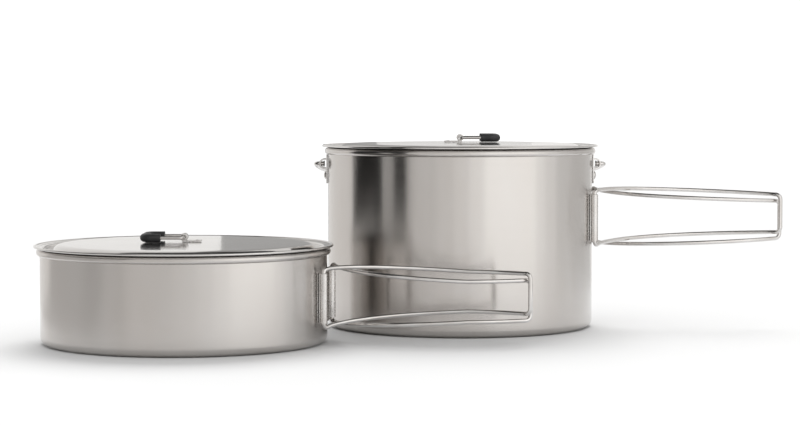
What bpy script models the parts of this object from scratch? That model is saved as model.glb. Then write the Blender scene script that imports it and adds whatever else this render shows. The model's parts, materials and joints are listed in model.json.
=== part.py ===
"""Camping cooking pot set: a deep pot with a bail and a shallow pot, each with a lid and a handle.

The origin is the centre of the deep pot's base, which rests on z = 0. The deep pot's side handle
points along +X and the shallow pot stands in front of it, to the left. Lengths are in metres.
"""
import math

import bmesh
import bpy
from mathutils import Matrix, Vector

MM = 0.001
GAP = 0.3 * MM                      # clearance left between neighbouring pieces

# Deep and shallow pot: outer wall radius, height of the rim's top, centre of the base.
LARGE = {
    "name": "large",
    "radius": 91.5 * MM,
    "height": 123.9 * MM,
    "centre": Vector((0.0, 0.0, 0.0)),
    "handle_height": 76.2 * MM,
    "taper_share": 1.0,             # share of the handle arm's length over which its height tapers
    "handle_turn": math.radians(-2.0),
    "pull_turn": 0.0,
}
SMALL = {
    "name": "small",
    "radius": 92.5 * MM,
    "height": 61.6 * MM,
    "centre": Vector((-181.3 * MM, -110.5 * MM, 0.0)),
    "handle_height": 30.9 * MM,
    "taper_share": 0.7,
    "handle_turn": math.radians(-5.0),
    "pull_turn": math.pi,
}

# Spun pot body.
WALL = 1.0 * MM
BASE = 1.2 * MM
BASE_CORNER = 5.0 * MM
BEAD_RADIUS = 2.3 * MM              # half-round bead that stands out round the rim

# Pressed lid. Heights are above the flange's underside, radii are parts of the pot's radius.
LID_SHEET = 0.8 * MM
FLANGE_OVERHANG = 4.1 * MM
FLANGE_LIFT = 0.7 * MM              # how far the flange's edge turns up
DOME_RISE = 0.7 * MM
PANEL_HEIGHT = 2.6 * MM
PANEL_SHARE = 0.845
SHOULDER_SHARE = 0.895
TROUGH_DEPTH = 2.2 * MM
TROUGH_INNER_SHARE = 0.912
SKIRT_CLEARANCE = 0.6 * MM

# Lid pull: a wire loop on a rolled strap, with a sleeve over its outer end.
PULL_WIRE_RADIUS = 1.0 * MM
PULL_HALF_WIDTH = 14.0 * MM
PULL_REACH = 24.9 * MM
PULL_CORNER = 5.0 * MM
PULL_PIVOT_HEIGHT = 3.2 * MM
SLEEVE_RADIUS = 2.75 * MM
SLEEVE_START = 14.0 * MM
STRAP_HALF_WIDTH = 4.5 * MM
STRAP_SHEET = 0.8 * MM
STRAP_TAB = 11.0 * MM
KNUCKLE_RADIUS = 2.4 * MM
KNUCKLE_BORE = 1.35 * MM

# Side handle: two wire loops, one hinged on each barrel of a bracket welded to the wall.
HANDLE_WIRE_RADIUS = 1.4 * MM
HINGE_STANDOFF = 3.5 * MM           # from the wall to the hinge axes
HINGE_HALF_SPACING = 22.0 * MM
HINGE_HALF_HEIGHT = 18.6 * MM
TIP_HALF_HEIGHT = 12.9 * MM
ARC_START = math.radians(142.0)     # the arm's arc, seen from above, in turns about its centre
ARC_END = math.radians(55.2)
LOOP_OFFSET = 2.2 * MM              # one loop runs this much high, the other this much low
OFFSET_SHARE = 0.11
HINGE_CORNER = 2.5 * MM
TIP_CORNER = 3.4 * MM
BARREL_RADIUS = 2.35 * MM
BARREL_BORE = 1.75 * MM
BARREL_HALF_LENGTH = 16.0 * MM
BRACKET_SHEET = 1.3 * MM

# Bail and its ears, on the deep pot only.
BAIL_WIRE_RADIUS = 1.5 * MM
BAIL_RADIUS = 100.0 * MM
BAIL_AXIS_HEIGHT = 112.6 * MM
BAIL_DROOP = math.radians(9.0)      # how far the bail hangs below level at rest
BAIL_CORNER = 2.6 * MM
BAIL_END_STANDOFF = 2.4 * MM        # from the wall to the bail's inner end
EAR_SHEET = 1.0 * MM
EAR_HALF_WIDTH = 4.5 * MM
EAR_LOW = 99.0 * MM
EAR_HIGH = 118.9 * MM
BRIDGE_HALF_HEIGHT = 3.7 * MM
BRIDGE_STANDOFF = 6.2 * MM
EAR_BORE = 1.85 * MM
RIVET_HEIGHT = 104.6 * MM
RIVET_HEAD_RADIUS = 2.8 * MM
RIVET_HEAD_DEPTH = 1.5 * MM
RIVET_SHANK_RADIUS = 1.3 * MM

TURN_STEPS = 48
HANDLE_STEPS = 13
BAIL_STEPS = 26


def clear_scene():
    for obj in list(bpy.data.objects):
        bpy.data.objects.remove(obj, do_unlink=True)


def new_collection(name):
    collection = bpy.data.collections.new(name)
    bpy.context.scene.collection.children.link(collection)
    return collection


def new_material(name, colour, roughness, metallic):
    material = bpy.data.materials.new(name)
    material.use_nodes = True
    shader = material.node_tree.nodes["Principled BSDF"]
    shader.inputs["Base Color"].default_value = (*colour, 1.0)
    shader.inputs["Roughness"].default_value = roughness
    shader.inputs["Metallic"].default_value = metallic
    return material


def put(obj, collection, material=None):
    collection.objects.link(obj)
    if material is not None:
        obj.data.materials.append(material)
    return obj


def smooth(obj, angle=math.radians(35.0)):
    obj.data.shade_smooth()
    obj.data.set_sharp_from_angle(angle=angle)


def arc(centre, radius, start, end, steps):
    """Points of a plane arc, both ends included."""
    points = []
    for i in range(steps + 1):
        turn = start + (end - start) * i / steps
        points.append((centre[0] + radius * math.cos(turn), centre[1] + radius * math.sin(turn)))
    return points


def turned(name, profile, collection, material, steps=TURN_STEPS):
    """A solid turned about Z from (radius, height) points that run down its outer side."""
    mesh = bpy.data.meshes.new(name)
    edges = [(i, i + 1) for i in range(len(profile) - 1)]
    mesh.from_pydata([(radius, 0.0, height) for radius, height in profile], edges, [])
    obj = put(bpy.data.objects.new(name, mesh), collection, material)
    screw = obj.modifiers.new("Turn", "SCREW")
    screw.steps = steps
    screw.render_steps = steps
    screw.use_merge_vertices = True
    screw.merge_threshold = 0.00001
    screw.use_smooth_shade = True
    return obj


def wire(name, points, radius, collection, material, closed=False, resolution=2):
    """A round wire along the points."""
    curve = bpy.data.curves.new(name, "CURVE")
    curve.dimensions = "3D"
    curve.bevel_depth = radius
    curve.bevel_resolution = resolution
    curve.use_fill_caps = not closed
    spline = curve.splines.new("POLY")
    spline.points.add(len(points) - 1)
    for point, place in zip(spline.points, points):
        point.co = (*place, 1.0)
    spline.use_cyclic_u = closed
    return put(bpy.data.objects.new(name, curve), collection, material)


def plate(name, outlines, half_thickness, collection):
    """A mesh plate extruded both ways from flat outlines in its XY plane; later ones are holes."""
    curve = bpy.data.curves.new(name, "CURVE")
    curve.dimensions = "2D"
    curve.fill_mode = "BOTH"
    curve.extrude = half_thickness
    for outline in outlines:
        spline = curve.splines.new("POLY")
        spline.points.add(len(outline) - 1)
        for point, (x, y) in zip(spline.points, outline):
            point.co = (x, y, 0.0, 1.0)
        spline.use_cyclic_u = True
    flat = put(bpy.data.objects.new(name, curve), collection)
    return as_mesh(flat, collection)


def as_mesh(obj, collection, material=None):
    """The curve object as a mesh with its loose caps welded on."""
    bpy.context.view_layer.update()
    depsgraph = bpy.context.evaluated_depsgraph_get()
    mesh = bpy.data.meshes.new_from_object(obj.evaluated_get(depsgraph))
    name = obj.name
    matrix = obj.matrix_world.copy()
    bpy.data.objects.remove(obj, do_unlink=True)
    mesh.name = name
    work = bmesh.new()
    work.from_mesh(mesh)
    bmesh.ops.remove_doubles(work, verts=work.verts, dist=0.000001)
    bmesh.ops.recalc_face_normals(work, faces=work.faces)
    work.to_mesh(mesh)
    work.free()
    mesh.materials.clear()
    solid = put(bpy.data.objects.new(name, mesh), collection, material)
    solid.matrix_world = matrix
    return solid


def cylinder(name, radius, length, matrix, collection, sides=16):
    mesh = bpy.data.meshes.new(name)
    work = bmesh.new()
    bmesh.ops.create_cone(work, cap_ends=True, segments=sides, radius1=radius, radius2=radius,
                          depth=length, matrix=matrix)
    work.to_mesh(mesh)
    work.free()
    obj = put(bpy.data.objects.new(name, mesh), collection)
    obj.hide_render = True
    obj.display_type = "WIRE"
    return obj


def combine(obj, other, operation):
    modifier = obj.modifiers.new(operation.title(), "BOOLEAN")
    modifier.operation = operation
    modifier.object = other


def pot_profile(pot):
    """Half section of the pot body: up the inside, over the bead, down the outside."""
    radius = pot["radius"]
    top = pot["height"]
    inner_corner = BASE_CORNER - WALL
    inner = arc((radius - BASE_CORNER, BASE + inner_corner), inner_corner,
                -math.pi / 2, 0.0, 4)
    bead = arc((radius, top - BEAD_RADIUS), BEAD_RADIUS, math.pi / 2, -math.pi / 2, 6)
    outer = arc((radius - BASE_CORNER, BASE_CORNER), BASE_CORNER, 0.0, -math.pi / 2, 4)
    return [(0.0, BASE)] + inner + [(radius - WALL, top)] + bead + outer + [(0.0, 0.0)]


def lid_sheet_line(pot, level):
    """The lid's underside from its centre to the flange's edge, as (radius, height) points."""
    radius = pot["radius"]
    inner_wall = radius - WALL
    panel = PANEL_SHARE * radius
    shoulder = SHOULDER_SHARE * radius
    trough_out = inner_wall - SKIRT_CLEARANCE
    line = [(0.0, PANEL_HEIGHT - LID_SHEET + DOME_RISE)]
    for share in (0.35, 0.7):
        line.append((share * panel, PANEL_HEIGHT - LID_SHEET + DOME_RISE * (1.0 - share ** 2)))
    line.append((panel, PANEL_HEIGHT - LID_SHEET))
    line.append((panel + 0.6 * (shoulder - panel), PANEL_HEIGHT - LID_SHEET - 0.5 * MM))
    line.append((shoulder, PANEL_HEIGHT - LID_SHEET - 1.6 * MM))
    line.append((TROUGH_INNER_SHARE * radius, -TROUGH_DEPTH))
    line.append((trough_out - 1.2 * MM, -TROUGH_DEPTH))
    line.append((trough_out, -TROUGH_DEPTH + 0.8 * MM))
    line.append((trough_out, 0.0))
    line.append((radius + BEAD_RADIUS - 1.0 * MM, 0.0))
    line.append((radius + FLANGE_OVERHANG, FLANGE_LIFT))
    return [(r, z + level) for r, z in line]


def thickened(line, thickness):
    """The closed half section of a sheet of the given thickness above the line."""
    upper = []
    for i, (r, z) in enumerate(line):
        before = Vector(line[max(i - 1, 0)])
        here = Vector((r, z))
        after = Vector(line[min(i + 1, len(line) - 1)])
        first = (here - before).normalized() if i else (after - here).normalized()
        second = (after - here).normalized() if i < len(line) - 1 else first
        along = (first + second).normalized()
        normal = Vector((-along.y, along.x))
        stretch = 1.0 / max(normal.dot(Vector((-first.y, first.x))), 0.6)
        place = here + normal * thickness * stretch
        upper.append((0.0 if i == 0 else place.x, place.y))
    return upper + line[::-1]


def make_pot(pot, parts, steel):
    body = turned(pot["name"] + "_pot_body", pot_profile(pot), parts, steel)
    body.location = pot["centre"]
    lid = turned(pot["name"] + "_lid",
                 thickened(lid_sheet_line(pot, pot["height"] + GAP), LID_SHEET), parts, steel)
    lid.location = pot["centre"]


def pull_frame(pot):
    """Placement of the lid pull: its pivot at the lid's centre and its loop along local +X."""
    top = pot["height"] + GAP + PANEL_HEIGHT + DOME_RISE
    pivot = pot["centre"] + Vector((0.0, 0.0, top + PULL_PIVOT_HEIGHT))
    return Matrix.Translation(pivot) @ Matrix.Rotation(pot["pull_turn"], 4, "Z")


def pull_path(inset=0.0):
    """One side of the loop from the strap to the far corner, then mirrored, as flat points."""
    corner = arc((PULL_REACH - PULL_CORNER, PULL_HALF_WIDTH - PULL_CORNER), PULL_CORNER,
                 math.pi / 2, 0.0, 5)
    side = [(inset, PULL_HALF_WIDTH)] + corner
    return side + [(x, -y) for x, y in side[::-1]]


def make_pull(pot, parts, bright, rubber):
    place = pull_frame(pot)
    small_corner = 2.0 * MM
    inner = arc((small_corner, PULL_HALF_WIDTH - small_corner), small_corner,
                math.pi, math.pi / 2, 3)
    loop = inner + pull_path(small_corner)[1:-1] + [(x, -y) for x, y in inner[::-1]]
    pull = wire(pot["name"] + "_lid_pull_wire", [(x, y, 0.0) for x, y in loop],
                PULL_WIRE_RADIUS, parts, bright, closed=True)
    pull.matrix_world = place

    tube = wire(pot["name"] + "_lid_sleeve", [(x, y, 0.0) for x, y in pull_path(SLEEVE_START)],
                SLEEVE_RADIUS, parts, None, resolution=3)
    tube.data.use_fill_caps = False
    tube.matrix_world = place
    sleeve = as_mesh(tube, parts, rubber)
    shell = sleeve.modifiers.new("Bore", "SOLIDIFY")
    shell.thickness = SLEEVE_RADIUS - PULL_WIRE_RADIUS - GAP
    shell.offset = -1.0
    smooth(sleeve)


def make_pull_strap(pot, parts, bright):
    """A tab with its end rolled into a knuckle for the pull's wire."""
    low = GAP - PULL_PIVOT_HEIGHT
    high = low + STRAP_SHEET
    knuckle_foot = math.asin(high / KNUCKLE_RADIUS)
    knuckle = arc((0.0, 0.0), KNUCKLE_RADIUS, knuckle_foot, math.pi - knuckle_foot, 12)
    tab = [(-STRAP_TAB, high), (-STRAP_TAB, low), (knuckle[0][0], low)]
    bore = arc((0.0, 0.0), KNUCKLE_BORE, 0.0, 2.0 * math.pi, 14)[:-1]
    strap = plate(pot["name"] + "_lid_strap", [tab + knuckle, bore], STRAP_HALF_WIDTH, parts)
    strap.matrix_world = pull_frame(pot) @ Matrix.Rotation(math.pi / 2, 4, "X")
    strap.data.materials.append(bright)
    smooth(strap)


def handle_frame(pot):
    """Placement of the side handle: local +X points out of the wall at the handle's height."""
    centre = pot["centre"] + Vector((0.0, 0.0, pot["handle_height"]))
    return Matrix.Translation(centre) @ Matrix.Rotation(pot["handle_turn"], 4, "Z")


def hinge_point(pot, side):
    """A hinge axis in the handle's frame: side -1 is the near one and +1 the far one."""
    reach = pot["radius"] + HINGE_STANDOFF
    out = math.sqrt(reach ** 2 - HINGE_HALF_SPACING ** 2)
    return Vector((out, side * HINGE_HALF_SPACING, 0.0))


def handle_loop(pot, side):
    """Points of one closed wire loop about its hinge axis. The near loop (side -1) runs high."""
    reach = pot["radius"] + HINGE_STANDOFF
    centre = Vector((-reach * math.cos(ARC_START), -reach * math.sin(ARC_START)))
    plan = []
    for i in range(HANDLE_STEPS + 1):
        share = i / HANDLE_STEPS
        turn = ARC_START + (ARC_END - ARC_START) * share
        out = centre.x + reach * math.cos(turn)
        across = centre.y + reach * math.sin(turn)
        plan.append((share, out, across))

    def height(share, level):
        taper = min(share / pot["taper_share"], 1.0)
        half = HINGE_HALF_HEIGHT + (TIP_HALF_HEIGHT - HINGE_HALF_HEIGHT) * taper
        shift = LOOP_OFFSET * (1.0 - math.exp(-share / OFFSET_SHARE))
        return level * half - side * shift

    upper = arm_points(plan, height, 1.0)
    lower = arm_points(plan, height, -1.0)
    loop = upper + lower[::-1]
    return [(x, -side * y, z) for x, y, z in loop]


def arm_points(plan, height, level):
    """One arm of a loop: the bend out of the barrel, the arc, and the bend into the end bar."""
    points = []
    for step in range(4):
        turn = math.radians(30.0 * step)
        points.append((HINGE_CORNER * (1.0 - math.cos(turn)), 0.0,
                       level * (HINGE_HALF_HEIGHT - HINGE_CORNER * (1.0 - math.sin(turn)))))
    lean = math.atan2(plan[1][2], plan[1][1])
    points = [(x * math.cos(lean), x * math.sin(lean), z) for x, _, z in points]
    for share, out, across in plan[1:-1]:
        points.append((out, across, height(share, level)))
    last = Vector((plan[-1][1], plan[-1][2], height(1.0, level)))
    back = (Vector(points[-1]) - last).normalized()
    start = last + back * TIP_CORNER
    for step in range(4):
        turn = math.radians(30.0 * step)
        bend = start - back * TIP_CORNER * math.sin(turn)
        points.append((bend.x, bend.y, bend.z - level * TIP_CORNER * (1.0 - math.cos(turn))))
    return points


def make_handle(pot, parts, cutters, bright):
    place = handle_frame(pot)
    for side, word in ((-1, "near"), (1, "far")):
        name = "{}_handle_{}_wire".format(pot["name"], word)
        loop = wire(name, handle_loop(pot, side), HANDLE_WIRE_RADIUS, parts, bright, closed=True)
        loop.matrix_world = place @ Matrix.Translation(hinge_point(pot, side))

    half_turn = math.asin(HINGE_HALF_SPACING / (pot["radius"] + HINGE_STANDOFF))
    inside = pot["radius"] + GAP
    outline = arc((0.0, 0.0), inside, -half_turn, half_turn, 10)
    outline += arc((0.0, 0.0), inside + BRACKET_SHEET, half_turn, -half_turn, 10)
    bracket = plate(pot["name"] + "_handle_bracket", [outline], BARREL_HALF_LENGTH, parts)
    bracket.matrix_world = place
    bracket.data.materials.append(bright)
    for side, word in ((-1, "near"), (1, "far")):
        axis = place @ Matrix.Translation(hinge_point(pot, side))
        prefix = "{}_{}".format(pot["name"], word)
        barrel = cylinder(prefix + "_barrel", BARREL_RADIUS, 2.0 * BARREL_HALF_LENGTH, axis,
                          cutters, 20)
        bore = cylinder(prefix + "_bore", BARREL_BORE, 3.0 * BARREL_HALF_LENGTH, axis, cutters)
        combine(bracket, barrel, "UNION")
        combine(bracket, bore, "DIFFERENCE")
    smooth(bracket)


def make_ear(turn, word, parts, cutters, bright):
    """A strap on the wall with a raised bridge that the bail's end goes into, and its rivet."""
    back = LARGE["radius"] + GAP
    front = back + EAR_SHEET
    bridge_out = LARGE["radius"] + BRIDGE_STANDOFF
    bend = BRIDGE_HALF_HEIGHT
    outer = arc((bridge_out - bend, BAIL_AXIS_HEIGHT), bend, -math.pi / 2, math.pi / 2, 8)
    outline = [(back, EAR_LOW), (front, EAR_LOW), (front, BAIL_AXIS_HEIGHT - bend)]
    outline += outer + [(front, BAIL_AXIS_HEIGHT + bend), (front, EAR_HIGH), (back, EAR_HIGH)]
    inner_bend = bend - EAR_SHEET
    hollow = [(front, BAIL_AXIS_HEIGHT - inner_bend)]
    hollow += arc((bridge_out - bend, BAIL_AXIS_HEIGHT), inner_bend,
                  -math.pi / 2, math.pi / 2, 8)
    hollow += [(front, BAIL_AXIS_HEIGHT + inner_bend)]
    ear = plate("bail_ear_" + word, [outline, hollow], EAR_HALF_WIDTH, parts)
    about = Matrix.Rotation(turn, 4, "Z")
    ear.matrix_world = about @ Matrix.Rotation(math.pi / 2, 4, "X")
    ear.data.materials.append(bright)

    along_x = Matrix.Rotation(math.pi / 2, 4, "Y")
    at_bridge = Matrix.Translation((bridge_out, 0.0, BAIL_AXIS_HEIGHT))
    combine(ear, cylinder("ear_bore_" + word, EAR_BORE, 2.0 * bend, about @ at_bridge @ along_x,
                          cutters), "DIFFERENCE")
    at_rivet = Matrix.Translation((back, 0.0, RIVET_HEIGHT))
    combine(ear, cylinder("rivet_bore_" + word, RIVET_SHANK_RADIUS + GAP, 4.0 * EAR_SHEET,
                          about @ at_rivet @ along_x, cutters), "DIFFERENCE")
    smooth(ear)

    seat = front - back + GAP
    head = [(0.0, seat + RIVET_HEAD_DEPTH)]
    head += [(RIVET_HEAD_RADIUS * math.sin(t), seat + RIVET_HEAD_DEPTH * math.cos(t))
             for t in (math.radians(22.5 * i) for i in range(1, 5))]
    head += [(RIVET_SHANK_RADIUS, seat), (RIVET_SHANK_RADIUS, 0.0), (0.0, 0.0)]
    rivet = turned("bail_ear_rivet_" + word, head, parts, bright, 16)
    rivet.matrix_world = about @ at_rivet @ along_x


def make_bail(parts, bright):
    """A half hoop whose ends turn in along the pivot axis, lying back behind the pot."""
    points = []
    end = LARGE["radius"] + BAIL_END_STANDOFF
    points.append((end, 0.0))
    points += arc((BAIL_RADIUS - BAIL_CORNER, BAIL_CORNER), BAIL_CORNER, -math.pi / 2, 0.0, 4)
    first = math.asin(BAIL_CORNER / BAIL_RADIUS)
    points += arc((0.0, 0.0), BAIL_RADIUS, 2.0 * first, math.pi - 2.0 * first, BAIL_STEPS)
    points += [(-x, y) for x, y in
               arc((BAIL_RADIUS - BAIL_CORNER, BAIL_CORNER), BAIL_CORNER, 0.0, -math.pi / 2, 4)]
    points.append((-end, 0.0))
    bail = wire("bail_wire", [(x, y, 0.0) for x, y in points], BAIL_WIRE_RADIUS, parts, bright)
    bail.matrix_world = (Matrix.Translation((0.0, 0.0, BAIL_AXIS_HEIGHT))
                         @ Matrix.Rotation(-BAIL_DROOP, 4, "X"))


def main():
    clear_scene()
    parts = new_collection("cooking_pot_set")
    cutters = new_collection("cutters")
    steel = new_material("satin_steel", (0.72, 0.70, 0.68), 0.28, 1.0)
    bright = new_material("bright_steel", (0.78, 0.77, 0.76), 0.15, 1.0)
    rubber = new_material("black_rubber", (0.02, 0.02, 0.022), 0.6, 0.0)
    for pot in (LARGE, SMALL):
        make_pot(pot, parts, steel)
        make_pull_strap(pot, parts, bright)
        make_pull(pot, parts, bright, rubber)
        make_handle(pot, parts, cutters, bright)
    for turn, word in ((math.pi, "left"), (0.0, "right")):
        make_ear(turn, word, parts, cutters, bright)
    make_bail(parts, bright)


main()
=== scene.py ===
import json
import math

import bmesh
import bpy
from mathutils import Matrix, Vector

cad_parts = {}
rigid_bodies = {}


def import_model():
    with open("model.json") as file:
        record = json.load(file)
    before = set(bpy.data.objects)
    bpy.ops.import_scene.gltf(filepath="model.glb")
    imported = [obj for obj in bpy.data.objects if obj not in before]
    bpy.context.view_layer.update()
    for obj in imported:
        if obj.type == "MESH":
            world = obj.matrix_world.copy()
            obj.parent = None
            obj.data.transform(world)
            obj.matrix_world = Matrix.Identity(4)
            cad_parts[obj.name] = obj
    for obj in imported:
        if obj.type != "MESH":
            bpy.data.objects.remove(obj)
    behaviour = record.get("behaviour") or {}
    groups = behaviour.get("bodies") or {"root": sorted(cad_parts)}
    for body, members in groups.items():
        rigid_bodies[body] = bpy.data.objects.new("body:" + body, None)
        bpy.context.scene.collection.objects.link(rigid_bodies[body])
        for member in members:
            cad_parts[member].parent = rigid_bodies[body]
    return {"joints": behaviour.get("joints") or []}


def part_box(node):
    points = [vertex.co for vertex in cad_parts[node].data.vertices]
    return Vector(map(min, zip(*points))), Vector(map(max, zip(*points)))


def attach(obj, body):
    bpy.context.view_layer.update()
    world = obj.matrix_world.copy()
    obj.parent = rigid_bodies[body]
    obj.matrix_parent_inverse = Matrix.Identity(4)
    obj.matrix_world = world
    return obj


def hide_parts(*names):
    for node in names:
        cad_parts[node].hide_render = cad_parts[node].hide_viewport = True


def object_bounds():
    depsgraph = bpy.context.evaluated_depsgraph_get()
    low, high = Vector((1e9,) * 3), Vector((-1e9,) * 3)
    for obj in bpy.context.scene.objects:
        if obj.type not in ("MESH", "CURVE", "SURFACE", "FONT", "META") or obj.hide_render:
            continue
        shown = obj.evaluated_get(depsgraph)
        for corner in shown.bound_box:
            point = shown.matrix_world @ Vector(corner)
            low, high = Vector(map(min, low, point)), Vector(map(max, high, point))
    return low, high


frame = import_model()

cad_low, cad_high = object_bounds()

MM = 0.001
GAP = 0.3 * MM

# Sheet and wire sizes, as in the frame's pieces.
WALL = 1.0 * MM
BASE = 1.2 * MM
BASE_CORNER = 5.0 * MM
BEAD_RADIUS = 2.3 * MM
LID_SHEET = 0.8 * MM
FLANGE_OVERHANG = 4.1 * MM
FLANGE_LIFT = 0.7 * MM
HEM_RADIUS = 0.75 * MM
DOME_RISE = 0.7 * MM
PANEL_HEIGHT = 2.6 * MM
PANEL_SHARE = 0.845
SHOULDER_SHARE = 0.895
TROUGH_DEPTH = 2.2 * MM
TROUGH_INNER_SHARE = 0.912
SKIRT_CLEARANCE = 0.6 * MM
PULL_WIRE_RADIUS = 1.0 * MM
PULL_HALF_WIDTH = 14.0 * MM
PULL_REACH = 24.9 * MM
PULL_CORNER = 5.0 * MM
SLEEVE_RADIUS = 2.7 * MM
SLEEVE_START = 14.0 * MM
STRAP_HALF_WIDTH = 4.5 * MM
STRAP_SHEET = 0.8 * MM
STRAP_TAB = 11.0 * MM
SPOT_WELD_REACH = 8.2 * MM
SPOT_WELD_SPREAD = 2.0 * MM
PULL_PIVOT_HEIGHT = 3.2 * MM
KNUCKLE_RADIUS = 2.4 * MM
KNUCKLE_BORE = 1.35 * MM
HANDLE_WIRE_RADIUS = 1.4 * MM
HINGE_STANDOFF = 3.5 * MM
HINGE_HALF_HEIGHT = 18.6 * MM
TIP_HALF_HEIGHT = 12.9 * MM
ARC_START = math.radians(142.0)
ARC_END = math.radians(55.2)
LOOP_OFFSET = 2.2 * MM
OFFSET_SHARE = 0.11
HINGE_CORNER = 2.5 * MM
TIP_CORNER = 3.4 * MM
TAPER_SHARES = {"large": 1.0, "small": 0.7}
BARREL_RADIUS = 2.35 * MM
BARREL_BORE = 1.75 * MM
BARREL_HALF_LENGTH = 16.0 * MM
BRACKET_SHEET = 1.3 * MM
BAIL_WIRE_RADIUS = 1.5 * MM
BAIL_RADIUS = 100.0 * MM
BAIL_DROOP = math.radians(9.0)
BAIL_CORNER = 2.6 * MM
BAIL_END_STANDOFF = 2.4 * MM
EAR_SHEET = 1.0 * MM
EAR_HALF_WIDTH = 4.5 * MM
BRIDGE_HALF_HEIGHT = 3.7 * MM
BRIDGE_STANDOFF = 6.2 * MM
EAR_BORE = 1.85 * MM
RIVET_HEAD_RADIUS = 2.8 * MM
RIVET_HEAD_DEPTH = 1.5 * MM
RIVET_SHANK_RADIUS = 1.3 * MM
EDGE_ROUNDING = 0.18 * MM

TURN_STEPS = 256
WALL_ROWS = 36
WELD_DISTANCE = 0.001 * MM
TURNED_SHARP_ANGLE = math.radians(50.0)
CURVED_SHARP_ANGLE = math.radians(40.0)


# ---------------------------------------------------------------- frame places

def joint(name):
    return next(j for j in frame["joints"] if j["name"] == name)


class Pot:
    """What the frame says about one pot: its centre, wall radius, rim height and joints."""

    def __init__(self, name):
        self.name = name
        low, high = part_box(name + "_pot_body")
        self.centre = Vector(((low.x + high.x) / 2, (low.y + high.y) / 2, low.z))
        self.radius = (high.x - low.x) / 2 - BEAD_RADIUS
        self.height = high.z - low.z
        pull = joint(name + "_pull_fold")
        self.pull_pivot = Vector(pull["pos_m"])
        self.pull_turn = 0.0 if pull["axis"][1] < 0 else math.pi
        near = Vector(joint(name + "_handle_near_fold")["pos_m"])
        far = Vector(joint(name + "_handle_far_fold")["pos_m"])
        self.hinges = {-1: near, 1: far}
        middle = (near + far) / 2 - self.centre
        self.handle_turn = math.atan2(middle.y, middle.x)
        self.handle_height = near.z
        self.hinge_half_turn = math.asin((far - near).length / 2
                                         / (self.radius + HINGE_STANDOFF))


LARGE = Pot("large")
SMALL = Pot("small")


# ---------------------------------------------------------------- mesh helpers

def show(obj):
    bpy.context.scene.collection.objects.link(obj)


def mesh_from(work, name):
    mesh = bpy.data.meshes.new(name)
    work.to_mesh(mesh)
    work.free()
    return mesh


def put(obj, material, body, node=None):
    """Shows a finished piece, and says which body it moves with and what it replaces."""
    show(obj)
    obj.data.materials.append(material)
    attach(obj, body)
    if node is not None:
        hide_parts(node)


def arc(centre, radius, start, end, steps):
    points = []
    for i in range(steps + 1):
        turn = start + (end - start) * i / steps
        points.append((centre[0] + radius * math.cos(turn), centre[1] + radius * math.sin(turn)))
    return points


def rows(start, end, count):
    """Points between two ends, neither of them included."""
    return [(start[0] + (end[0] - start[0]) * i / count, start[1] + (end[1] - start[1]) * i / count)
            for i in range(1, count)]


def rounded(line, passes=3):
    """The line with its corners cut again and again, which leaves it smooth."""
    for _ in range(passes):
        cut = [line[0]]
        for (x0, y0), (x1, y1) in zip(line, line[1:]):
            cut.append((0.75 * x0 + 0.25 * x1, 0.75 * y0 + 0.25 * y1))
            cut.append((0.25 * x0 + 0.75 * x1, 0.25 * y0 + 0.75 * y1))
        line = cut + [line[-1]]
    return line


def turned_mesh(name, profile, steps=TURN_STEPS, closed=False, warp=None):
    """A mesh turned about Z. A closed profile is a ring that doesn't meet the axis."""
    work = bmesh.new()
    rings = []
    for radius, height in profile:
        if radius < 1e-7:
            rings.append([work.verts.new((0.0, 0.0, height))])
            continue
        ring = []
        for i in range(steps):
            turn = 2.0 * math.pi * i / steps
            reach = radius + (warp(turn, height, radius) if warp else 0.0)
            ring.append(work.verts.new((reach * math.cos(turn), reach * math.sin(turn), height)))
        rings.append(ring)
    pairs = list(zip(rings, rings[1:]))
    if closed:
        pairs.append((rings[-1], rings[0]))
    for upper, lower in pairs:
        for i in range(steps):
            j = (i + 1) % steps
            corners = []
            for ring, index in ((upper, i), (upper, j), (lower, j), (lower, i)):
                vert = ring[index if len(ring) > 1 else 0]
                if vert not in corners:
                    corners.append(vert)
            work.faces.new(corners)
    bmesh.ops.recalc_face_normals(work, faces=work.faces)
    mesh = mesh_from(work, name)
    mesh.shade_smooth()
    mesh.set_sharp_from_angle(angle=TURNED_SHARP_ANGLE)
    return mesh


def add_spline(curve, points, closed):
    spline = curve.splines.new("POLY")
    spline.points.add(len(points) - 1)
    for point, place in zip(spline.points, points):
        point.co = (*place, 1.0)
    spline.use_cyclic_u = closed


def wire(name, points, radius, closed=False, resolution=6):
    """A round wire through the points, open with flat ends or closed into a loop."""
    curve = bpy.data.curves.new(name, "CURVE")
    curve.dimensions = "3D"
    curve.bevel_depth = radius
    curve.bevel_resolution = resolution
    curve.use_fill_caps = not closed
    add_spline(curve, points, closed)
    return as_mesh(bpy.data.objects.new(name, curve))


def plate(name, outlines, half_thickness):
    """A plate with rounded edges, extruded both ways from outlines in its XY plane."""
    curve = bpy.data.curves.new(name, "CURVE")
    curve.dimensions = "2D"
    curve.fill_mode = "BOTH"
    curve.extrude = half_thickness - EDGE_ROUNDING
    curve.bevel_depth = EDGE_ROUNDING
    curve.bevel_resolution = 2
    curve.offset = -EDGE_ROUNDING
    for outline in outlines:
        add_spline(curve, [(x, y, 0.0) for x, y in outline], True)
    return as_mesh(bpy.data.objects.new(name, curve))


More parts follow.
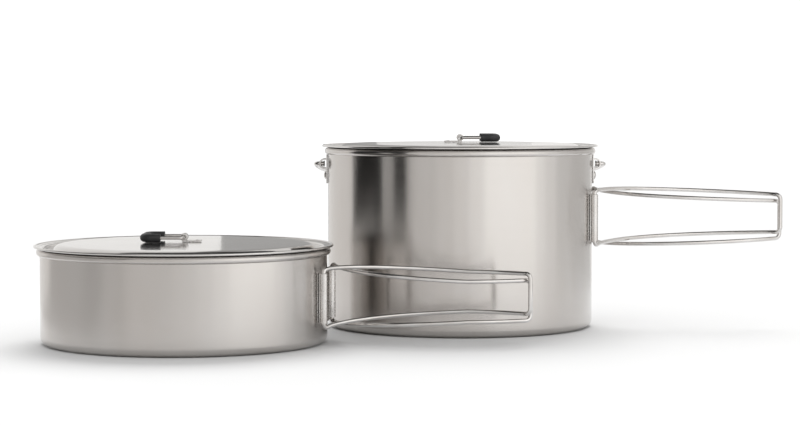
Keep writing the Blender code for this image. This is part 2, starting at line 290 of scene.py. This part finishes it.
def as_mesh(source):
    """The curve as an object with a smooth, welded mesh."""
    show(source)
    bpy.context.view_layer.update()
    depsgraph = bpy.context.evaluated_depsgraph_get()
    mesh = bpy.data.meshes.new_from_object(source.evaluated_get(depsgraph))
    name = source.name
    bpy.data.objects.remove(source, do_unlink=True)
    mesh.name = name
    work = bmesh.new()
    work.from_mesh(mesh)
    bmesh.ops.remove_doubles(work, verts=work.verts, dist=WELD_DISTANCE)
    bmesh.ops.recalc_face_normals(work, faces=work.faces)
    work.to_mesh(mesh)
    work.free()
    mesh.materials.clear()
    mesh.shade_smooth()
    mesh.set_sharp_from_angle(angle=CURVED_SHARP_ANGLE)
    return bpy.data.objects.new(name, mesh)


def add_mesh(obj, mesh, matrix):
    """Adds another closed shape to the object's mesh."""
    work = bmesh.new()
    work.from_mesh(obj.data)
    extra = mesh.copy()
    extra.transform(matrix)
    work.from_mesh(extra)
    work.to_mesh(obj.data)
    work.free()
    obj.data.shade_smooth()
    obj.data.set_sharp_from_angle(angle=CURVED_SHARP_ANGLE)


def cut_bore(obj, radius, length, matrix):
    """Cuts a round hole through the object's mesh."""
    work = bmesh.new()
    bmesh.ops.create_cone(work, cap_ends=True, segments=40, radius1=radius, radius2=radius,
                          depth=length, matrix=matrix)
    cutter = bpy.data.objects.new("bore", mesh_from(work, "bore"))
    for item in (obj, cutter):
        show(item)
    modifier = obj.modifiers.new("Bore", "BOOLEAN")
    modifier.operation = "DIFFERENCE"
    modifier.object = cutter
    bpy.context.view_layer.update()
    depsgraph = bpy.context.evaluated_depsgraph_get()
    result = bpy.data.meshes.new_from_object(obj.evaluated_get(depsgraph))
    obj.modifiers.clear()
    obj.data = result
    bpy.context.scene.collection.objects.unlink(obj)
    bpy.data.objects.remove(cutter, do_unlink=True)
    result.shade_smooth()
    result.set_sharp_from_angle(angle=CURVED_SHARP_ANGLE)


# ---------------------------------------------------------------- materials

class Nodes:
    """A small helper that adds shader nodes and links them by name."""

    def __init__(self, material):
        material.use_nodes = True
        self.tree = material.node_tree
        self.shader = self.tree.nodes["Principled BSDF"]
        self.object_place = self.add("ShaderNodeTexCoord").outputs["Object"]

    def add(self, kind, **settings):
        node = self.tree.nodes.new(kind)
        for key, value in settings.items():
            setattr(node, key, value)
        return node

    def link(self, output, socket):
        self.tree.links.new(output, socket)

    def noise(self, scale, detail=4.0, roughness=0.55):
        """Noise in the object's own space, stretched by a scale along each axis."""
        mapping = self.add("ShaderNodeMapping")
        mapping.inputs["Scale"].default_value = scale
        self.link(self.object_place, mapping.inputs["Vector"])
        noise = self.add("ShaderNodeTexNoise")
        noise.inputs["Scale"].default_value = 1.0
        noise.inputs["Detail"].default_value = detail
        noise.inputs["Roughness"].default_value = roughness
        self.link(mapping.outputs["Vector"], noise.inputs["Vector"])
        return noise.outputs["Fac"]

    def ring_noise(self, pitch):
        """Noise that changes only with the distance from the Z axis, like spinning marks."""
        split = self.add("ShaderNodeSeparateXYZ")
        self.link(self.object_place, split.inputs["Vector"])
        flat = self.add("ShaderNodeCombineXYZ")
        self.link(split.outputs["X"], flat.inputs["X"])
        self.link(split.outputs["Y"], flat.inputs["Y"])
        length = self.add("ShaderNodeVectorMath", operation="LENGTH")
        self.link(flat.outputs["Vector"], length.inputs[0])
        noise = self.add("ShaderNodeTexNoise", noise_dimensions="1D")
        noise.inputs["Scale"].default_value = 1.0 / pitch
        noise.inputs["Detail"].default_value = 3.0
        self.link(length.outputs["Value"], noise.inputs["W"])
        return noise.outputs["Fac"]

    def span(self, value, low, high, start=0.3, end=0.7):
        change = self.add("ShaderNodeMapRange")
        change.inputs["From Min"].default_value = start
        change.inputs["From Max"].default_value = end
        change.inputs["To Min"].default_value = low
        change.inputs["To Max"].default_value = high
        self.link(value, change.inputs["Value"])
        return change.outputs["Result"]

    def blend(self, factor, first, second):
        ramp = self.add("ShaderNodeValToRGB")
        ramp.color_ramp.elements[0].position = 0.3
        ramp.color_ramp.elements[0].color = (*first, 1.0)
        ramp.color_ramp.elements[1].position = 0.7
        ramp.color_ramp.elements[1].color = (*second, 1.0)
        self.link(factor, ramp.inputs["Fac"])
        return ramp.outputs["Color"]

    def bump(self, height, distance, strength, under=None):
        bump = self.add("ShaderNodeBump")
        bump.inputs["Distance"].default_value = distance
        bump.inputs["Strength"].default_value = strength
        self.link(height, bump.inputs["Height"])
        if under is not None:
            self.link(under, bump.inputs["Normal"])
        return bump.outputs["Normal"]


def wall_steel(name):
    """Spun stainless sheet: fine lines round the wall, a faint warm stain and soft flats."""
    material = bpy.data.materials.new(name)
    nodes = Nodes(material)
    shader = nodes.shader
    shader.inputs["Metallic"].default_value = 1.0
    shader.inputs["Anisotropic"].default_value = 0.7
    shader.inputs["Anisotropic Rotation"].default_value = 0.25
    tangent = nodes.add("ShaderNodeTangent", direction_type="RADIAL", axis="Z")
    nodes.link(tangent.outputs["Tangent"], shader.inputs["Tangent"])
    stain = nodes.noise((14.0, 14.0, 5.0), 5.0)
    nodes.link(nodes.blend(stain, (0.57, 0.538, 0.512), (0.605, 0.588, 0.572)),
               shader.inputs["Base Color"])
    lines = nodes.noise((12.0, 12.0, 2600.0), 2.0)
    nodes.link(nodes.span(lines, 0.22, 0.27), shader.inputs["Roughness"])
    flats = nodes.noise((46.0, 46.0, 2.5), 2.0)
    soft = nodes.bump(flats, 0.35 * MM, 0.6)
    nodes.link(nodes.bump(lines, 0.006 * MM, 0.4, soft), shader.inputs["Normal"])
    return material


def lid_steel(name):
    """Polished pressed lid with faint rings from spinning."""
    material = bpy.data.materials.new(name)
    nodes = Nodes(material)
    shader = nodes.shader
    shader.inputs["Metallic"].default_value = 1.0
    stain = nodes.noise((18.0, 18.0, 18.0), 4.0)
    nodes.link(nodes.blend(stain, (0.63, 0.61, 0.595), (0.68, 0.67, 0.66)),
               shader.inputs["Base Color"])
    rings = nodes.ring_noise(0.5 * MM)
    nodes.link(nodes.span(rings, 0.07, 0.15), shader.inputs["Roughness"])
    waves = nodes.noise((30.0, 30.0, 30.0), 2.0)
    soft = nodes.bump(waves, 0.12 * MM, 0.5)
    nodes.link(nodes.bump(rings, 0.006 * MM, 0.5, soft), shader.inputs["Normal"])
    return material


def bright_steel(name, low=0.10, high=0.22, pits=0.008 * MM):
    """Drawn wire or pressed strap: bright, with fine handling marks."""
    material = bpy.data.materials.new(name)
    nodes = Nodes(material)
    shader = nodes.shader
    shader.inputs["Metallic"].default_value = 1.0
    tone = nodes.noise((60.0, 60.0, 60.0), 4.0)
    nodes.link(nodes.blend(tone, (0.60, 0.575, 0.555), (0.70, 0.69, 0.68)),
               shader.inputs["Base Color"])
    marks = nodes.noise((700.0, 700.0, 700.0), 5.0)
    nodes.link(nodes.span(marks, low, high), shader.inputs["Roughness"])
    nodes.link(nodes.bump(marks, pits, 0.6), shader.inputs["Normal"])
    return material


def black_rubber(name):
    """Moulded rubber sleeve: matte, with a fine grain and a trace of dust."""
    material = bpy.data.materials.new(name)
    nodes = Nodes(material)
    shader = nodes.shader
    dust = nodes.noise((240.0, 240.0, 240.0), 6.0)
    nodes.link(nodes.blend(dust, (0.010, 0.010, 0.011), (0.028, 0.028, 0.030)),
               shader.inputs["Base Color"])
    grain = nodes.noise((2600.0, 2600.0, 2600.0), 3.0)
    nodes.link(nodes.span(grain, 0.42, 0.62), shader.inputs["Roughness"])
    nodes.link(nodes.bump(grain, 0.03 * MM, 0.5), shader.inputs["Normal"])
    shader.inputs["Specular IOR Level"].default_value = 0.45
    return material


# ---------------------------------------------------------------- pots and lids

def pot_profile(pot):
    """From the middle of the floor up the inside, over the bead and down to the base."""
    radius = pot.radius
    top = pot.height
    inner = arc((radius - BASE_CORNER, BASE_CORNER + BASE - WALL), BASE_CORNER - WALL,
                -math.pi / 2, 0.0, 12)
    bead = arc((radius, top - BEAD_RADIUS), BEAD_RADIUS, math.pi / 2, -math.pi / 2, 20)
    outer = arc((radius - BASE_CORNER, BASE_CORNER), BASE_CORNER, 0.0, -math.pi / 2, 14)
    profile = [(0.0, BASE)] + rows((0.0, BASE), inner[0], 6) + inner
    profile += rows(inner[-1], (radius - WALL, top), 8) + [(radius - WALL, top)] + bead
    profile += rows(bead[-1], outer[0], WALL_ROWS) + outer
    profile += rows(outer[-1], (0.0, 0.0), 6) + [(0.0, 0.0)]
    return profile


# Shallow dents in the outer wall: turn about the pot, height as a share, size and depth.
DENTS = {
    "large": ((-1.85, 0.62, 9.0 * MM, 0.10 * MM), (-1.22, 0.30, 6.0 * MM, 0.08 * MM),
              (0.9, 0.5, 8.0 * MM, 0.12 * MM), (2.4, 0.4, 7.0 * MM, 0.10 * MM)),
    "small": ((-1.60, 0.33, 3.0 * MM, 0.10 * MM), (-2.3, 0.55, 7.0 * MM, 0.08 * MM),
              (0.6, 0.45, 8.0 * MM, 0.10 * MM), (2.0, 0.5, 6.0 * MM, 0.10 * MM)),
}


def dented(pot):
    """How far the wall is pushed in at a turn and a height."""
    def warp(turn, height, radius):
        if abs(radius - pot.radius) > 1e-6:
            return 0.0
        push = 0.0
        for dent_turn, share, size, depth in DENTS[pot.name]:
            across = math.remainder(turn - dent_turn, 2.0 * math.pi) * pot.radius
            up = height - share * pot.height
            push -= depth * math.exp(-(across ** 2 + up ** 2) / size ** 2)
        return push
    return warp


def lid_line(pot):
    """The lid's underside from its centre to the flange's edge."""
    level = pot.height + GAP
    radius = pot.radius
    panel = PANEL_SHARE * radius
    shoulder = SHOULDER_SHARE * radius
    trough_out = radius - WALL - SKIRT_CLEARANCE
    under = PANEL_HEIGHT - LID_SHEET
    line = [(0.0, under + DOME_RISE)]
    for share in (0.2, 0.4, 0.6, 0.8):
        line.append((share * panel, under + DOME_RISE * (1.0 - share ** 2)))
    line.append((panel, under))
    line.append((panel + 0.6 * (shoulder - panel), under - 0.5 * MM))
    line.append((shoulder, under - 1.6 * MM))
    line.append((TROUGH_INNER_SHARE * radius, -TROUGH_DEPTH))
    line.append((trough_out - 1.2 * MM, -TROUGH_DEPTH))
    line.append((trough_out, -TROUGH_DEPTH + 0.8 * MM))
    line.append((trough_out, 0.0))
    line.append((radius + BEAD_RADIUS - 1.0 * MM, 0.0))
    line.append((radius + FLANGE_OVERHANG - HEM_RADIUS, FLANGE_LIFT))
    return rounded([(r, z + level) for r, z in line])


def thickened(line, thickness):
    """A closed sheet profile: the line's upper side, then the line itself backwards."""
    upper = []
    for i, (r, z) in enumerate(line):
        before = Vector(line[max(i - 1, 0)])
        here = Vector((r, z))
        after = Vector(line[min(i + 1, len(line) - 1)])
        first = (here - before).normalized() if i else (after - here).normalized()
        second = (after - here).normalized() if i < len(line) - 1 else first
        along = (first + second).normalized()
        normal = Vector((-along.y, along.x))
        place = here + normal * thickness
        upper.append((0.0 if i == 0 else place.x, place.y))
    return upper + line[::-1]


def make_pot(pot, wall, lid_material):
    mesh = turned_mesh(pot.name + "_wall", pot_profile(pot), warp=dented(pot))
    body = bpy.data.objects.new(pot.name + "_wall", mesh)
    body.location = pot.centre
    put(body, wall, pot.name + "_pot", pot.name + "_pot_body")

    lid = bpy.data.objects.new(pot.name + "_cover", turned_mesh(
        pot.name + "_cover", thickened(lid_line(pot), LID_SHEET)))
    lid.location = pot.centre
    put(lid, lid_material, pot.name + "_lid", pot.name + "_lid")

    level = pot.height + GAP + FLANGE_LIFT + LID_SHEET / 2
    ring = arc((pot.radius + FLANGE_OVERHANG - HEM_RADIUS, level), HEM_RADIUS,
               0.0, 2.0 * math.pi, 16)[:-1]
    hem = bpy.data.objects.new(pot.name + "_cover_hem",
                               turned_mesh(pot.name + "_cover_hem", ring, closed=True))
    hem.location = pot.centre
    put(hem, lid_material, pot.name + "_lid")


# ---------------------------------------------------------------- lid pulls

def pull_path(start):
    """The pull's outer end and its two sides from a start on, in its own plane."""
    corner = arc((PULL_REACH - PULL_CORNER, PULL_HALF_WIDTH - PULL_CORNER), PULL_CORNER,
                 math.pi / 2, 0.0, 14)
    side = [(start, PULL_HALF_WIDTH)] + corner
    return side + [(x, -y) for x, y in side[::-1]]


def make_pull(pot, bright, strap_steel, rubber):
    place = Matrix.Translation(pot.pull_pivot) @ Matrix.Rotation(pot.pull_turn, 4, "Z")
    small_corner = 2.0 * MM
    inner = arc((small_corner, PULL_HALF_WIDTH - small_corner), small_corner,
                math.pi, math.pi / 2, 6)
    loop = inner + pull_path(small_corner)[1:-1] + [(x, -y) for x, y in inner[::-1]]
    pull = wire(pot.name + "_pull_loop", [(x, y, 0.0) for x, y in loop], PULL_WIRE_RADIUS, True)
    pull.matrix_world = place
    put(pull, bright, pot.name + "_pull", pot.name + "_lid_pull_wire")

    path = pull_path(SLEEVE_START)
    sleeve = wire(pot.name + "_pull_grip", [(x, y, 0.0) for x, y in path], SLEEVE_RADIUS,
                  resolution=8)
    bevel = sleeve.modifiers.new("Mouths", "BEVEL")
    bevel.width = 0.5 * MM
    bevel.segments = 3
    bevel.limit_method = "ANGLE"
    bevel.angle_limit = TURNED_SHARP_ANGLE
    sleeve.matrix_world = place
    put(sleeve, rubber, pot.name + "_pull", pot.name + "_lid_sleeve")

    low = GAP - PULL_PIVOT_HEIGHT
    high = low + STRAP_SHEET
    foot = math.asin(high / KNUCKLE_RADIUS)
    knuckle = arc((0.0, 0.0), KNUCKLE_RADIUS, foot, math.pi - foot, 40)
    tab = [(-STRAP_TAB, high), (-STRAP_TAB, low), (knuckle[0][0], low)]
    bore = arc((0.0, 0.0), KNUCKLE_BORE, 0.0, 2.0 * math.pi, 32)[:-1]
    strap = plate(pot.name + "_pull_strap", [tab + knuckle, bore], STRAP_HALF_WIDTH)
    # Two spot welds near the tab's end, each a low dimpled button.
    button = [(0.0, 0.10 * MM), (0.7 * MM, 0.16 * MM), (1.15 * MM, 0.12 * MM),
              (1.4 * MM, -0.1 * MM)]
    upright = Matrix.Rotation(-math.pi / 2, 4, "X")
    for across in (-SPOT_WELD_SPREAD, SPOT_WELD_SPREAD):
        spot = Matrix.Translation((-SPOT_WELD_REACH, high, across)) @ upright
        add_mesh(strap, turned_mesh("weld", button, 24), spot)
    strap.matrix_world = place @ Matrix.Rotation(math.pi / 2, 4, "X")
    put(strap, strap_steel, pot.name + "_lid", pot.name + "_lid_strap")


# ---------------------------------------------------------------- side handles

def handle_loop(pot, side, steps=56):
    """Points of one closed wire loop about its hinge axis. The near loop (side -1) runs high."""
    reach = pot.radius + HINGE_STANDOFF
    centre = Vector((-reach * math.cos(ARC_START), -reach * math.sin(ARC_START)))
    plan = []
    for i in range(steps + 1):
        share = i / steps
        turn = ARC_START + (ARC_END - ARC_START) * share
        plan.append((share, centre.x + reach * math.cos(turn), centre.y + reach * math.sin(turn)))

    def height(share, level):
        taper = min(share / TAPER_SHARES[pot.name], 1.0)
        half = HINGE_HALF_HEIGHT + (TIP_HALF_HEIGHT - HINGE_HALF_HEIGHT) * taper
        shift = LOOP_OFFSET * (1.0 - math.exp(-share / OFFSET_SHARE))
        return level * half - side * shift

    loop = arm_points(plan, height, 1.0) + arm_points(plan, height, -1.0)[::-1]
    return [(x, -side * y, z) for x, y, z in loop]


def arm_points(plan, height, level, bend_steps=6):
    """One arm: the bend out of the barrel, the arc, and the bend into the end bar."""
    lean = math.atan2(plan[4][2], plan[4][1])
    points = []
    for step in range(bend_steps + 1):
        turn = math.pi / 2 * step / bend_steps
        out = HINGE_CORNER * (1.0 - math.cos(turn))
        points.append((out * math.cos(lean), out * math.sin(lean),
                       level * (HINGE_HALF_HEIGHT - HINGE_CORNER * (1.0 - math.sin(turn)))))
    for share, out, across in plan[2:-2]:
        points.append((out, across, height(share, level)))
    last = Vector((plan[-1][1], plan[-1][2], height(1.0, level)))
    back = (Vector(points[-1]) - last).normalized()
    start = last + back * TIP_CORNER
    for step in range(bend_steps + 1):
        turn = math.pi / 2 * step / bend_steps
        bend = start - back * TIP_CORNER * math.sin(turn)
        points.append((bend.x, bend.y, bend.z - level * TIP_CORNER * (1.0 - math.cos(turn))))
    return points


def make_handle(pot, bright, strap_steel):
    for side, word in ((-1, "near"), (1, "far")):
        loop = wire("{}_handle_{}".format(pot.name, word), handle_loop(pot, side),
                    HANDLE_WIRE_RADIUS, True)
        loop.matrix_world = (Matrix.Translation(pot.hinges[side])
                             @ Matrix.Rotation(pot.handle_turn, 4, "Z"))
        body = "{}_handle_{}".format(pot.name, word)
        put(loop, bright, body, body + "_wire")

    inside = pot.radius + GAP
    half_turn = pot.hinge_half_turn
    outline = arc((0.0, 0.0), inside, -half_turn, half_turn, 28)
    outline += arc((0.0, 0.0), inside + BRACKET_SHEET, half_turn, -half_turn, 28)
    bracket = plate(pot.name + "_bracket", [outline], BARREL_HALF_LENGTH)
    rim = 0.2 * MM
    barrel = [(BARREL_RADIUS - rim, BARREL_HALF_LENGTH), (BARREL_RADIUS, BARREL_HALF_LENGTH - rim),
              (BARREL_RADIUS, rim - BARREL_HALF_LENGTH), (BARREL_RADIUS - rim, -BARREL_HALF_LENGTH),
              (BARREL_BORE, -BARREL_HALF_LENGTH), (BARREL_BORE, BARREL_HALF_LENGTH)]
    tube = turned_mesh("barrel", barrel, 48, closed=True)
    reach = pot.radius + HINGE_STANDOFF
    for side in (-1, 1):
        hinge = (reach * math.cos(half_turn), side * reach * math.sin(half_turn), 0.0)
        add_mesh(bracket, tube, Matrix.Translation(hinge))
    bracket.matrix_world = (Matrix.Translation(pot.centre + Vector((0, 0, pot.handle_height)))
                            @ Matrix.Rotation(pot.handle_turn, 4, "Z"))
    put(bracket, strap_steel, pot.name + "_pot", pot.name + "_handle_bracket")


# ---------------------------------------------------------------- bail and ears

def make_ear(turn, word, strap_steel):
    axis_height = joint("bail_swing")["pos_m"][2]
    ear_low, ear_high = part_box("bail_ear_" + word)
    rivet_low, rivet_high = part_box("bail_ear_rivet_" + word)
    back = LARGE.radius + GAP
    front = back + EAR_SHEET
    bridge_out = LARGE.radius + BRIDGE_STANDOFF
    bend = BRIDGE_HALF_HEIGHT
    inner_bend = bend - EAR_SHEET
    outline = [(back, ear_low.z), (front, ear_low.z), (front, axis_height - bend)]
    outline += arc((bridge_out - bend, axis_height), bend, -math.pi / 2, math.pi / 2, 32)
    outline += [(front, axis_height + bend), (front, ear_high.z), (back, ear_high.z)]
    hollow = [(front, axis_height - inner_bend)]
    hollow += arc((bridge_out - bend, axis_height), inner_bend, -math.pi / 2, math.pi / 2, 28)
    hollow += [(front, axis_height + inner_bend)]
    ear = plate("ear_" + word, [outline, hollow], EAR_HALF_WIDTH)
    cut_bore(ear, EAR_BORE, 2.0 * bend, Matrix.Translation((bridge_out, axis_height, 0.0))
             @ Matrix.Rotation(math.pi / 2, 4, "Y"))
    about = Matrix.Rotation(turn, 4, "Z")
    ear.matrix_world = about @ Matrix.Rotation(math.pi / 2, 4, "X")
    put(ear, strap_steel, "large_pot", "bail_ear_" + word)

    seat = front - back + GAP
    head = [(RIVET_HEAD_RADIUS * math.sin(t), seat + RIVET_HEAD_DEPTH * math.cos(t))
            for t in (math.pi / 2 * i / 10 for i in range(11))]
    head += [(RIVET_SHANK_RADIUS, seat - 0.1 * MM), (RIVET_SHANK_RADIUS, 0.0), (0.0, 0.0)]
    rivet = bpy.data.objects.new("rivet_" + word, turned_mesh("rivet_" + word, head, 40))
    height = (rivet_low.z + rivet_high.z) / 2
    rivet.matrix_world = (about @ Matrix.Translation((back, 0.0, height))
                          @ Matrix.Rotation(math.pi / 2, 4, "Y"))
    put(rivet, strap_steel, "large_pot", "bail_ear_rivet_" + word)


def make_bail(bright):
    end = LARGE.radius + BAIL_END_STANDOFF
    corner = arc((BAIL_RADIUS - BAIL_CORNER, BAIL_CORNER), BAIL_CORNER, -math.pi / 2, 0.0, 8)
    first = 2.0 * math.asin(BAIL_CORNER / BAIL_RADIUS)
    points = [(end, 0.0)] + corner
    points += arc((0.0, 0.0), BAIL_RADIUS, first, math.pi - first, 110)
    points += [(-x, y) for x, y in corner[::-1]] + [(-end, 0.0)]
    bail = wire("bail_hoop", [(x, y, 0.0) for x, y in points], BAIL_WIRE_RADIUS)
    # A flattened head at each inner end keeps the wire in its ear.
    head = [(0.0, 0.0), (1.9 * MM, 0.15 * MM), (2.2 * MM, 0.5 * MM), (1.9 * MM, 0.9 * MM),
            (0.0, 1.0 * MM)]
    for side in (-1, 1):
        place = (Matrix.Translation((side * end, 0.0, 0.0))
                 @ Matrix.Rotation(side * math.pi / 2, 4, "Y"))
        add_mesh(bail, turned_mesh("head", head, 32), place)
    pivot = joint("bail_swing")["pos_m"]
    bail.matrix_world = Matrix.Translation(pivot) @ Matrix.Rotation(-BAIL_DROOP, 4, "X")
    put(bail, bright, "bail", "bail_wire")


# ---------------------------------------------------------------- stage

WHITE_LEVEL = 1.3
FLOOR_HALF_SIZE = 6.0
FLOOR_DROP = 0.05 * MM
FLOOR_TONE = 0.52
BACK_LIGHT_STRENGTH = 2.75
BACK_LIGHT_ANGLE = math.radians(40.0)
BACK_LIGHT_TILT = math.radians(-38.0)
BACK_LIGHT_TURN = math.radians(-6.0)
CAMERA_LENS = 101.25
CAMERA_PLACE = (-0.0417, -1.564, 0.158)
CAMERA_PITCH = math.radians(2.91)

# Reflection cards: distance from the deep pot's centre, heights and how bright they are.
CARD_REACH = 0.62
CARD_FLOOR_SHARE = 0.6
CARD_FLOOR_HEIGHT = 0.4 * MM
CARD_TOP = 0.9
CARD_LEFT_TOP = 0.22
CARD_STEPS = 8
CEILING_RADIUS = 1.6
CEILING_LEVEL = 0.06
# Start and end turn of each full card in degrees from -Y, and its level.
FULL_CARDS = (
    (-160, -100, 0.9), (-44, -20, 0.76), (-20, -6, 0.84), (-6, 6, 0.96), (6, 18, 1.12),
    (18, 62, 1.36), (62, 72, 1.14), (72, 84, 0.98), (84, 104, 0.8), (104, 150, 0.7),
    (150, 172, 0.95), (172, 186, 0.8), (186, 200, 0.4),
)


def emission(name, level):
    material = bpy.data.materials.new(name)
    material.use_nodes = True
    tree = material.node_tree
    tree.nodes.clear()
    light = tree.nodes.new("ShaderNodeEmission")
    light.inputs["Color"].default_value = (1.0, 0.985, 0.965, 1.0)
    light.inputs["Strength"].default_value = level
    output = tree.nodes.new("ShaderNodeOutputMaterial")
    tree.links.new(light.outputs["Emission"], output.inputs["Surface"])
    return material


def reflection_card(name, start, end, level, only=None, low=None, high=CARD_TOP):
    """A curved card round the deep pot that only reflections see. Its turns are in degrees from
    -Y, towards +X if positive. It starts on the floor, unless it is given a lower edge. With a
    collection given, other pieces see the card as black."""
    floor_part = [(CARD_FLOOR_SHARE * CARD_REACH, CARD_FLOOR_HEIGHT),
                  (CARD_REACH, CARD_FLOOR_HEIGHT)]
    section = (floor_part if low is None else [(CARD_REACH, low)]) + [(CARD_REACH, high)]
    work = bmesh.new()
    columns = []
    for i in range(CARD_STEPS + 1):
        turn = math.radians(start + (end - start) * i / CARD_STEPS)
        columns.append([work.verts.new((r * math.sin(turn), -r * math.cos(turn), z))
                        for r, z in section])
    for left, right in zip(columns, columns[1:]):
        for k in range(len(section) - 1):
            work.faces.new((left[k], right[k], right[k + 1], left[k + 1]))
    reflected_only(name, mesh_from(work, name), level, only)


def reflected_only(name, mesh, level, only=None):
    """A studio surface that shines at one level, in reflections alone."""
    card = bpy.data.objects.new(name, mesh)
    show(card)
    mesh.materials.append(emission(name, level))
    card.visible_camera = False
    card.visible_diffuse = False
    card.visible_shadow = False
    card.visible_transmission = False
    if only is not None:
        card.light_linking.receiver_collection = only


def make_ceiling():
    """A dark ceiling that only reflections see, at the cards' top."""
    mesh = turned_mesh("ceiling", [(0.0, CARD_TOP), (CEILING_RADIUS, CARD_TOP)], 48)
    reflected_only("ceiling", mesh, CEILING_LEVEL)


def make_stage():
    world = bpy.data.worlds.new("studio")
    bpy.context.scene.world = world
    world.use_nodes = True
    background = world.node_tree.nodes["Background"]
    background.inputs["Color"].default_value = (1.0, 1.0, 1.0, 1.0)
    background.inputs["Strength"].default_value = WHITE_LEVEL

    work = bmesh.new()
    bmesh.ops.create_grid(work, x_segments=1, y_segments=1, size=FLOOR_HALF_SIZE)
    mesh = mesh_from(work, "floor")
    floor = bpy.data.objects.new("floor", mesh)
    floor.location.z = cad_low.z - FLOOR_DROP
    show(floor)
    material = bpy.data.materials.new("floor_white")
    material.use_nodes = True
    shader = material.node_tree.nodes["Principled BSDF"]
    shader.inputs["Base Color"].default_value = (FLOOR_TONE, FLOOR_TONE, FLOOR_TONE, 1.0)
    shader.inputs["Roughness"].default_value = 0.9
    shader.inputs["Specular IOR Level"].default_value = 0.1
    mesh.materials.append(material)

    light = bpy.data.lights.new("back_light", "SUN")
    light.angle = BACK_LIGHT_ANGLE
    light.energy = BACK_LIGHT_STRENGTH
    back_light = bpy.data.objects.new("back_light", light)
    back_light.rotation_euler = (BACK_LIGHT_TILT, 0.0, BACK_LIGHT_TURN)
    back_light.visible_glossy = False
    show(back_light)


def make_camera():
    camera = bpy.data.cameras.new("camera")
    camera.lens = CAMERA_LENS
    camera.sensor_width = 36.0
    camera.clip_start = 0.05
    eye = bpy.data.objects.new("camera", camera)
    eye.location = CAMERA_PLACE
    eye.rotation_euler = (math.pi / 2 - CAMERA_PITCH, 0.0, 0.0)
    show(eye)
    bpy.context.scene.camera = eye


def make_cards():
    near_small = bpy.data.collections.new("shallow_pot_pieces")
    for obj in bpy.data.objects:
        if obj.name.startswith("small_"):
            near_small.objects.link(obj)
    reflection_card("card_left_a", -100, -67, 0.60, only=near_small, high=CARD_LEFT_TOP)
    reflection_card("card_left_b", -67, -56, 0.55, high=CARD_LEFT_TOP)
    reflection_card("card_left_c", -56, -44, 0.66, only=near_small, high=CARD_LEFT_TOP)
    reflection_card("card_left_high", -100, -44, 0.03, low=CARD_LEFT_TOP)
    for start, end, level in FULL_CARDS:
        reflection_card("card_{}".format(start), start, end, level)
    make_ceiling()


make_camera()
wall = wall_steel("satin_wall")
cover = lid_steel("polished_lid")
drawn = bright_steel("drawn_wire")
pressed = bright_steel("pressed_strap", 0.18, 0.32, 0.012 * MM)
grip = black_rubber("sleeve_rubber")
for pot in (LARGE, SMALL):
    make_pot(pot, wall, cover)
    make_pull(pot, drawn, pressed, grip)
    make_handle(pot, drawn, pressed)
make_ear(math.pi, "left", pressed)
make_ear(0.0, "right", pressed)
make_bail(drawn)
make_stage()
make_cards()

bpy.context.scene.view_settings.view_transform = "Standard"
